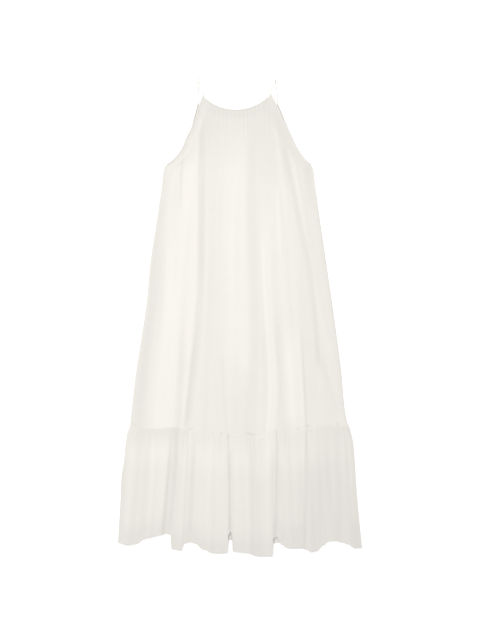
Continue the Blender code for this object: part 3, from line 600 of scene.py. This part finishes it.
def tubePiece(name, path, radius, material, nodeName):
    # Rings of points carried along a path, square to it, with closed ends; a ring's first side is the
    # cross product of the run and the vertical
    run = np.gradient(path, axis=0)
    run /= np.linalg.norm(run, axis=1)[:, None]
    side = np.cross(run, (0, 0, 1.0))
    side[np.linalg.norm(side, axis=1) < 1e-3] = (1, 0, 0)  # where the path is upright
    for k in range(1, len(side)):  # keeps the rings from flipping where the path turns over
        if np.dot(side[k], side[k - 1]) < 0:
            side[k] = -side[k]
    side /= np.linalg.norm(side, axis=1)[:, None]
    top = np.cross(side, run)
    angle = np.linspace(0, 2 * math.pi, cords["sides"], endpoint=False)
    outward = np.cos(angle)[:, None] * side[:, None] + np.sin(angle)[:, None] * top[:, None]
    rings = path[:, None] + radius * outward
    points = np.vstack((rings.reshape(-1, 3), path[:1], path[-1:]))
    faces = gridFaces(cords["sides"], len(path) - 1, closed=True)
    last = (len(path) - 1) * cords["sides"]
    for k in range(cords["sides"]):
        after = (k + 1) % cords["sides"]
        faces.append([len(points) - 2, k, after])
        faces.append([len(points) - 1, last + after, last + k])
    piece = meshObject(name, points, faces, material)
    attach(piece, "root")
    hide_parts(nodeName)


stitches = {
    "length": 0.0024, "pitch": 0.0032, "radius": 0.00016, "rings": 4, "sides": 5,
    "steps": (0.0005, 0.002),  # small steps of u and v that give the face's slope
    "arch": 1.3, "sink": 0.2, "endWidth": 0.6,  # in radii: how high it arches, how deep it starts
    "fromHem": 0.0085, "fromEdge": 0.0015, "fromArmhole": 1.25,  # the last in shares of fromEdge
    "neckEnd": 0.03, "armholeStart": 0.01, "underarmEnd": 1.1,  # shares; the last in sections
}


def stitchRow(shape, u, v):
    # Short tubes laid end to end along a line of the cloth and arched off its face by half a sine: the
    # line is walked by its length, and the face's normal is the cross product of its steps down and across
    def at(du, dv):
        return np.stack(shape(np.clip(u + du, 0, 1), np.clip(v + dv, 0, 1))[:3], axis=-1)

    line = at(0, 0)
    stepU, stepV = stitches["steps"]
    face = np.cross(at(0, stepV) - at(0, -stepV), at(stepU, 0) - at(-stepU, 0))
    face /= np.linalg.norm(face, axis=1)[:, None]
    line += face * (wall / 2)
    length = np.concatenate(([0], np.cumsum(np.linalg.norm(np.diff(line, axis=0), axis=1))))
    starts = np.arange(stitches["pitch"], length[-1] - stitches["pitch"], stitches["pitch"])
    share = np.linspace(0, 1, stitches["rings"])
    where = starts[:, None] + share * stitches["length"]
    middle, up = (np.stack([np.interp(where, length, column) for column in table.T], axis=-1)
                  for table in (line, face))
    arch = stitches["arch"] * np.sin(math.pi * share) - stitches["sink"]
    middle += up * (stitches["radius"] * arch)[:, None]
    run = np.repeat(middle[:, -1:] - middle[:, :1], stitches["rings"], axis=1)
    run /= np.linalg.norm(run, axis=-1)[..., None]
    side = np.cross(run, up)
    angle = np.linspace(0, 2 * math.pi, stitches["sides"], endpoint=False)[:, None]
    ring = np.cos(angle) * side[:, :, None] + np.sin(angle) * np.cross(side, run)[:, :, None]
    wide = np.full(stitches["rings"], stitches["radius"])
    wide[[0, -1]] *= stitches["endWidth"]
    return (middle[:, :, None] + ring * wide[:, None, None]).reshape(-1, 3)


def stitchPiece(name, rows):  # several rows of stitches as one mesh
    points = np.vstack(rows)
    sideCount = stitches["sides"]
    each = sideCount * stitches["rings"]
    one = gridFaces(sideCount, stitches["rings"] - 1, closed=True)
    one += [list(range(sideCount)), list(range(each - 1, each - 1 - sideCount, -1))]
    faces = [[corner + each * k for corner in face] for k in range(len(points) // each) for face in one]
    piece = meshObject(name, points, faces, rolled)
    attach(piece, "root")
    print(name, len(points) // each, "stitches")
    return piece


def beside(points, side, offset):  # moved sideways, square to the run, to the left (1) or right (-1)
    run = np.gradient(points, axis=0)[:, :2]
    run /= np.linalg.norm(run, axis=1)[:, None]
    moved = points.copy()
    moved[:, 0] -= side * run[:, 1] * offset
    moved[:, 1] += side * run[:, 0] * offset
    return moved


view = {"height": 1.856, "distance": 3.6, "centreY": -0.0094, "sensor": 36}  # metres, sensor in mm
studio = {
    "sky": 0.80, "keyPlace": (-1.6, 1.1, 3.6), "keySize": 2.0, "keyPower": 68,
    "floorReach": 8, "floorDepth": -0.0004,
}


def makeCamera():  # straight down, neck at the top of the frame
    camera = bpy.data.objects.new("camera", bpy.data.cameras.new("camera"))
    camera.data.sensor_width = view["sensor"]
    camera.data.lens = view["sensor"] * view["distance"] / view["height"]
    camera.location = (0, view["centreY"], view["distance"])
    scene.collection.objects.link(camera)
    scene.camera = camera


def makeLight(name, place, size, power):  # turned to face the origin
    light = bpy.data.objects.new(name, bpy.data.lights.new(name, "AREA"))
    light.data.size = size
    light.data.energy = power
    light.location = place
    x, y, z = place
    light.rotation_euler = (math.atan2(math.hypot(x, y), z), 0, math.atan2(y, x) + math.pi / 2)
    scene.collection.objects.link(light)


def makeStudio():
    scene.view_settings.view_transform = "Standard"
    world = bpy.data.worlds.new("studio")
    world.use_nodes = True
    sky = world.node_tree.nodes["Background"]
    sky.inputs["Color"].default_value = (1, 1, 1, 1)
    sky.inputs["Strength"].default_value = studio["sky"]
    scene.world = world
    makeLight("keyLight", studio["keyPlace"], studio["keySize"], studio["keyPower"])
    reach, depth = studio["floorReach"], studio["floorDepth"]
    corners = np.array([(x * reach, y * reach, depth) for x, y in ((-1, -1), (1, -1), (1, 1), (-1, 1))])
    floor = meshObject("floor", corners, [(0, 1, 2, 3)], paperMaterial())


makeCamera()
makeStudio()
print("camera, light and floor")

crepe = clothMaterial("ivoryCrepe", colours["crepe"], colours["crepeSheerShaded"])
rolled = clothMaterial("ivoryBinding", colours["binding"], colours["bindingSheer"])

front = clothPiece("frontBodyCloth", frontBody, body, crepe, "front_body")
back = clothPiece("backBodyCloth", backBodyShape, backBody, crepe, "back_body")
ruffle = clothPiece("frontTierCloth", frontTier, tier, crepe, "front_tier")
backRuffle = clothPiece("backTierCloth", backTierShape, backTier, crepe, "back_tier")

radius = cords["across"] / 2
onFront = under * 1.5 + gap + body["neckEdge"]


def neckPath(shape, height):
    u = np.linspace(cords["neckEnd"], 1 - cords["neckEnd"], cords["neckPoints"])
    x, y = shape(u, np.zeros_like(u))[:2]
    return beside(np.stack((x, y, np.full_like(x, height)), axis=1), 1, radius + seamGap)


def armholePath(sections, column, side, height):
    down = np.linspace(0, cords["armholeEnd"], cords["armholePoints"])
    x, y = edgesAt(sections + sides[:1], down)[0][column:column + 2]
    return beside(np.stack((x, y, np.full_like(x, height)), axis=1), side, radius + seamGap)


def strapPath(frontCord, backCord, topX):
    # Up from the front cord, over a small half circle at the top and down to the back cord
    turnY = cords["strapTop"] - cords["turn"] - radius
    runs = [(path[0] - path[1]) / np.linalg.norm(path[0] - path[1]) for path in (frontCord, backCord)]
    ends = [path[0] + run * cords["strapGap"] for path, run in zip((frontCord, backCord), runs)]
    share = np.linspace(0, 1, cords["strapPoints"])[:, None]
    topFront = np.array((topX, turnY, radius + cords["turn"] * 2))
    topBack = np.array((topX, turnY, radius))
    up = ends[0] + (topFront - ends[0]) * np.hstack((ease(share), share, ease(share)))
    down = topBack + (ends[1] - topBack) * np.hstack((ease(share), share, share))
    angle = np.linspace(math.pi / 2, -math.pi / 2, cords["turnPoints"])[1:-1]
    fold = np.stack((np.full_like(angle, topX), turnY + cords["turn"] * np.cos(angle),
                     radius + cords["turn"] * (1 + np.sin(angle))), axis=1)
    return np.vstack((up, fold, down))


tubePiece("frontNeckBinding", neckPath(frontBody, onFront), radius, rolled, "front_neck_binding")
tubePiece("backNeckBinding", neckPath(backBodyShape, radius), radius, rolled, "back_neck_binding")
for hand, column, side, topX in (("left", 0, -1, cords["leftX"]), ("right", 2, 1, cords["rightX"])):
    frontCord = armholePath(armholeFront, column, side, onFront)
    backCord = armholePath(armholeBack, column, side, radius)
    tubePiece(hand + "ArmholeFrontBinding", frontCord, radius, rolled, hand + "_armhole_front_binding")
    tubePiece(hand + "ArmholeBackBinding", backCord, radius, rolled, hand + "_armhole_back_binding")
    tubePiece(hand + "Strap", strapPath(frontCord, backCord, topX), radius, rolled, hand + "_strap")
print("bindings and straps")


def hemRow(shape, end, count):  # a steady distance above the hem of a tier, from just inside its sides
    u = np.linspace(end, 1 - end, count)
    topY, hemY = (shape(u, np.full_like(u, v))[1] for v in (0, 1))
    return [stitchRow(shape, u, 1 - stitches["fromHem"] / (topY - hemY))]


def edgeRows(shape, sections):  # beside the neck and both armholes of a panel
    neckU = np.linspace(stitches["neckEnd"], 1 - stitches["neckEnd"], 300)
    rows = [stitchRow(shape, neckU, np.full_like(neckU, stitches["fromEdge"] / body["cloth"][1]))]
    steps = np.linspace(0, 1, 400)
    end = np.interp(len(sections) - stitches["underarmEnd"], edgesAt(sections + sides, steps)[1], steps)
    down = np.linspace(stitches["armholeStart"], end, 300)
    edge = shape(np.zeros_like(down), down)[0], shape(np.ones_like(down), down)[0]
    inset = stitches["fromEdge"] * stitches["fromArmhole"] / (edge[1] - edge[0])
    return rows + [stitchRow(shape, inset, down), stitchRow(shape, 1 - inset, down)]


hemStitches = stitchPiece("hemStitches", hemRow(frontTier, end=0.006, count=1500))
backHemStitches = stitchPiece("backHemStitches", hemRow(backTierShape, end=0.01, count=800))
frontEdgeStitches = stitchPiece("frontEdgeStitches", edgeRows(frontBody, armholeFront))
backEdgeStitches = stitchPiece("backEdgeStitches", edgeRows(backBodyShape, armholeBack))
